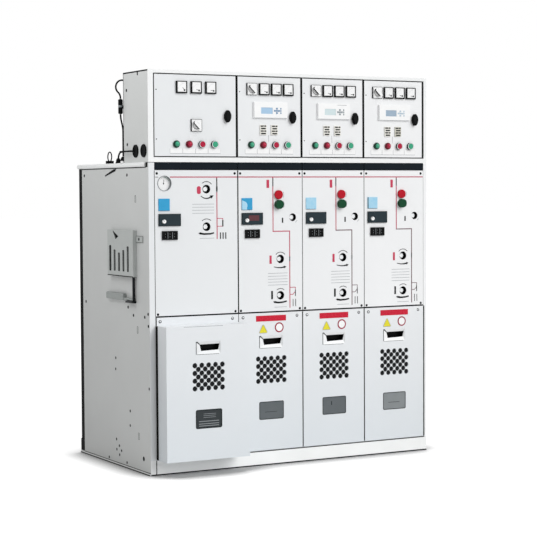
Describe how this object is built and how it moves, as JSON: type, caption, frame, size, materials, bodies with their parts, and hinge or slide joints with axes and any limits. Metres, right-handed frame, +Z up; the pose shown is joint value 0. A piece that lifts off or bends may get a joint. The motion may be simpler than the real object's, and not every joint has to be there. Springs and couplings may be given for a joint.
{
  "type": "ring main unit",
  "caption": "Floor-standing medium-voltage ring main unit with mechanism bays, pull-off cable covers and a low-voltage box of hinged instrument doors on top.",
  "frame": {"origin": "on the floor at the centre of the four floor anchor holes", "axes": "+Z up, +X to the right when facing the doors, front faces -Y"},
  "size_m": [1.342, 0.81, 1.6],
  "materials": {
    "white_paint": "satin powder coat",
    "door_paint": "satin powder coat",
    "dark_paint": "matt dark coat",
    "galvanised": "galvanised sheet",
    "plated_steel": "zinc plated",
    "tank_steel": "welded stainless sheet",
    "black_strip": "gloss black strip",
    "black_plastic": "moulded black",
    "instrument_plastic": "moulded housings",
    "cast_resin": "cast resin",
    "cable_rubber": "cable sheath",
    "red_cap": "gloss red",
    "green_cap": "gloss green",
    "lever_steel": "dark lever"
  },
  "bodies": {
    "cabinet": {"base_frame": "white_paint", "left_side_panel": "white_paint", "right_side_panel": "white_paint", "rear_panel": "dark_paint", "roof_plate": "white_paint", "lv_box": "white_paint", "lv_rear_cover": "white_paint", "lv_wiring_plates": "galvanised", "gas_tank": "tank_steel", "mechanism_plates": "plated_steel", "front_covers": "white_paint", "front_frame": "galvanised", "label_strip": "black_strip", "panel_instruments": "instrument_plastic", "cable_terminals": "cast_resin", "lever_pocket": "galvanised", "control_cables": "cable_rubber"},
    "lv_door_1": {"lv_door_1": "door_paint", "lv_instruments_1": "instrument_plastic"},
    "lv_door_2": {"lv_door_2": "door_paint", "lv_instruments_2": "instrument_plastic"},
    "lv_door_3": {"lv_door_3": "door_paint", "lv_instruments_3": "instrument_plastic"},
    "lv_door_4": {"lv_door_4": "door_paint", "lv_instruments_4": "instrument_plastic"},
    "lv_latch_1": {"lv_latch_1": "black_plastic"},
    "lv_latch_2": {"lv_latch_2": "black_plastic"},
    "lv_latch_3": {"lv_latch_3": "black_plastic"},
    "lv_latch_4": {"lv_latch_4": "black_plastic"},
    "lv_selector_1": {"lv_selector_1": "black_plastic"},
    "lv_selector_2": {"lv_selector_2": "black_plastic"},
    "lv_selector_3": {"lv_selector_3": "black_plastic"},
    "lv_selector_4": {"lv_selector_4": "black_plastic"},
    "lv_open_button_1": {"lv_open_button_1": "red_cap"},
    "lv_open_button_2": {"lv_open_button_2": "red_cap"},
    "lv_open_button_3": {"lv_open_button_3": "red_cap"},
    "lv_open_button_4": {"lv_open_button_4": "red_cap"},
    "lv_close_button_1": {"lv_close_button_1": "green_cap"},
    "lv_close_button_2": {"lv_close_button_2": "green_cap"},
    "lv_close_button_3": {"lv_close_button_3": "green_cap"},
    "lv_close_button_4": {"lv_close_button_4": "green_cap"},
    "cable_cover_1": {"cable_cover_1": "white_paint"},
    "cable_cover_2": {"cable_cover_2": "white_paint"},
    "cable_cover_3": {"cable_cover_3": "white_paint"},
    "cable_cover_4": {"cable_cover_4": "white_paint"},
    "trip_button_2": {"trip_button_2": "red_cap"},
    "trip_button_3": {"trip_button_3": "red_cap"},
    "trip_button_4": {"trip_button_4": "red_cap"},
    "close_button_2": {"close_button_2": "green_cap"},
    "close_button_3": {"close_button_3": "green_cap"},
    "close_button_4": {"close_button_4": "green_cap"},
    "isolator_shaft_1": {"isolator_shaft_1": "plated_steel"},
    "isolator_shaft_2": {"isolator_shaft_2": "plated_steel"},
    "isolator_shaft_3": {"isolator_shaft_3": "plated_steel"},
    "isolator_shaft_4": {"isolator_shaft_4": "plated_steel"},
    "earthing_shaft_1": {"earthing_shaft_1": "plated_steel"},
    "earthing_shaft_2": {"earthing_shaft_2": "plated_steel"},
    "earthing_shaft_3": {"earthing_shaft_3": "plated_steel"},
    "earthing_shaft_4": {"earthing_shaft_4": "plated_steel"},
    "operating_lever": {"operating_lever": "lever_steel"}
  },
  "joints": [
    {"name": "lv_door_1_hinge", "type": "hinge", "parent": "cabinet", "child": "lv_door_1", "pos_m": [-0.623, -0.353, 1.419], "axis": [0, 0, -1], "range_deg": [0, 110]},
    {"name": "lv_door_2_hinge", "type": "hinge", "parent": "cabinet", "child": "lv_door_2", "pos_m": [-0.253, -0.353, 1.419], "axis": [0, 0, -1], "range_deg": [0, 110]},
    {"name": "lv_door_3_hinge", "type": "hinge", "parent": "cabinet", "child": "lv_door_3", "pos_m": [0.047, -0.353, 1.419], "axis": [0, 0, -1], "range_deg": [0, 110]},
    {"name": "lv_door_4_hinge", "type": "hinge", "parent": "cabinet", "child": "lv_door_4", "pos_m": [0.347, -0.353, 1.419], "axis": [0, 0, -1], "range_deg": [0, 110]},
    {"name": "lv_latch_1_turn", "type": "hinge", "parent": "lv_door_1", "child": "lv_latch_1", "pos_m": [-0.307, -0.3575, 1.4215], "axis": [0, 1, 0], "range_deg": [0, 90]},
    {"name": "lv_latch_2_turn", "type": "hinge", "parent": "lv_door_2", "child": "lv_latch_2", "pos_m": [-0.007, -0.3575, 1.4215], "axis": [0, 1, 0], "range_deg": [0, 90]},
    {"name": "lv_latch_3_turn", "type": "hinge", "parent": "lv_door_3", "child": "lv_latch_3", "pos_m": [0.293, -0.3575, 1.4215], "axis": [0, 1, 0], "range_deg": [0, 90]},
    {"name": "lv_latch_4_turn", "type": "hinge", "parent": "lv_door_4", "child": "lv_latch_4", "pos_m": [0.593, -0.3575, 1.4215], "axis": [0, 1, 0], "range_deg": [0, 90]},
    {"name": "lv_selector_1_turn", "type": "hinge", "parent": "lv_door_1", "child": "lv_selector_1", "pos_m": [-0.445, -0.3575, 1.384], "axis": [0, 1, 0], "range_deg": [0, 90]},
    {"name": "lv_selector_2_turn", "type": "hinge", "parent": "lv_door_2", "child": "lv_selector_2", "pos_m": [-0.194, -0.3575, 1.5335], "axis": [0, 1, 0], "range_deg": [0, 90]},
    {"name": "lv_selector_3_turn", "type": "hinge", "parent": "lv_door_3", "child": "lv_selector_3", "pos_m": [0.106, -0.3575, 1.5335], "axis": [0, 1, 0], "range_deg": [0, 90]},
    {"name": "lv_selector_4_turn", "type": "hinge", "parent": "lv_door_4", "child": "lv_selector_4", "pos_m": [0.406, -0.3575, 1.5335], "axis": [0, 1, 0], "range_deg": [0, 90]},
    {"name": "lv_open_button_1_press", "type": "slide", "parent": "lv_door_1", "child": "lv_open_button_1", "axis": [0, 1, 0], "range_m": [0, 0.004], "stiffness_N_per_m": 400},
    {"name": "lv_open_button_2_press", "type": "slide", "parent": "lv_door_2", "child": "lv_open_button_2", "axis": [0, 1, 0], "range_m": [0, 0.004], "stiffness_N_per_m": 400},
    {"name": "lv_open_button_3_press", "type": "slide", "parent": "lv_door_3", "child": "lv_open_button_3", "axis": [0, 1, 0], "range_m": [0, 0.004], "stiffness_N_per_m": 400},
    {"name": "lv_open_button_4_press", "type": "slide", "parent": "lv_door_4", "child": "lv_open_button_4", "axis": [0, 1, 0], "range_m": [0, 0.004], "stiffness_N_per_m": 400},
    {"name": "lv_close_button_1_press", "type": "slide", "parent": "lv_door_1", "child": "lv_close_button_1", "axis": [0, 1, 0], "range_m": [0, 0.004], "stiffness_N_per_m": 400},
    {"name": "lv_close_button_2_press", "type": "slide", "parent": "lv_door_2", "child": "lv_close_button_2", "axis": [0, 1, 0], "range_m": [0, 0.004], "stiffness_N_per_m": 400},
    {"name": "lv_close_button_3_press", "type": "slide", "parent": "lv_door_3", "child": "lv_close_button_3", "axis": [0, 1, 0], "range_m": [0, 0.004], "stiffness_N_per_m": 400},
    {"name": "lv_close_button_4_press", "type": "slide", "parent": "lv_door_4", "child": "lv_close_button_4", "axis": [0, 1, 0], "range_m": [0, 0.004], "stiffness_N_per_m": 400},
    {"name": "cable_cover_1_pull", "type": "slide", "parent": "cabinet", "child": "cable_cover_1", "axis": [0, -1, 0], "range_m": [0, 0.25]},
    {"name": "cable_cover_2_pull", "type": "slide", "parent": "cabinet", "child": "cable_cover_2", "axis": [0, -1, 0], "range_m": [0, 0.25]},
    {"name": "cable_cover_3_pull", "type": "slide", "parent": "cabinet", "child": "cable_cover_3", "axis": [0, -1, 0], "range_m": [0, 0.25]},
    {"name": "cable_cover_4_pull", "type": "slide", "parent": "cabinet", "child": "cable_cover_4", "axis": [0, -1, 0], "range_m": [0, 0.25]},
    {"name": "trip_button_2_press", "type": "slide", "parent": "cabinet", "child": "trip_button_2", "axis": [0, 1, 0], "range_m": [0, 0.006], "stiffness_N_per_m": 600},
    {"name": "trip_button_3_press", "type": "slide", "parent": "cabinet", "child": "trip_button_3", "axis": [0, 1, 0], "range_m": [0, 0.006], "stiffness_N_per_m": 600},
    {"name": "trip_button_4_press", "type": "slide", "parent": "cabinet", "child": "trip_button_4", "axis": [0, 1, 0], "range_m": [0, 0.006], "stiffness_N_per_m": 600},
    {"name": "close_button_2_press", "type": "slide", "parent": "cabinet", "child": "close_button_2", "axis": [0, 1, 0], "range_m": [0, 0.006], "stiffness_N_per_m": 600},
    {"name": "close_button_3_press", "type": "slide", "parent": "cabinet", "child": "close_button_3", "axis": [0, 1, 0], "range_m": [0, 0.006], "stiffness_N_per_m": 600},
    {"name": "close_button_4_press", "type": "slide", "parent": "cabinet", "child": "close_button_4", "axis": [0, 1, 0], "range_m": [0, 0.006], "stiffness_N_per_m": 600},
    {"name": "isolator_shaft_1_turn", "type": "hinge", "parent": "cabinet", "child": "isolator_shaft_1", "pos_m": [-0.4015, -0.3575, 1.131], "axis": [0, 1, 0], "range_deg": [0, 90]},
    {"name": "isolator_shaft_2_turn", "type": "hinge", "parent": "cabinet", "child": "isolator_shaft_2", "pos_m": [-0.065, -0.3575, 0.844], "axis": [0, 1, 0], "range_deg": [0, 90]},
    {"name": "isolator_shaft_3_turn", "type": "hinge", "parent": "cabinet", "child": "isolator_shaft_3", "pos_m": [0.235, -0.3575, 0.844], "axis": [0, 1, 0], "range_deg": [0, 90]},
    {"name": "isolator_shaft_4_turn", "type": "hinge", "parent": "cabinet", "child": "isolator_shaft_4", "pos_m": [0.535, -0.3575, 0.844], "axis": [0, 1, 0], "range_deg": [0, 90]},
    {"name": "earthing_shaft_1_turn", "type": "hinge", "parent": "cabinet", "child": "earthing_shaft_1", "pos_m": [-0.4015, -0.3575, 0.981], "axis": [0, 1, 0], "range_deg": [0, 90]},
    {"name": "earthing_shaft_2_turn", "type": "hinge", "parent": "cabinet", "child": "earthing_shaft_2", "pos_m": [-0.065, -0.3575, 0.695], "axis": [0, 1, 0], "range_deg": [0, 90]},
    {"name": "earthing_shaft_3_turn", "type": "hinge", "parent": "cabinet", "child": "earthing_shaft_3", "pos_m": [0.235, -0.3575, 0.695], "axis": [0, 1, 0], "range_deg": [0, 90]},
    {"name": "earthing_shaft_4_turn", "type": "hinge", "parent": "cabinet", "child": "earthing_shaft_4", "pos_m": [0.535, -0.3575, 0.695], "axis": [0, 1, 0], "range_deg": [0, 90]},
    {"name": "operating_lever_lift", "type": "slide", "parent": "cabinet", "child": "operating_lever", "axis": [0, 0, 1], "range_m": [0, 0.05]}
  ]
}
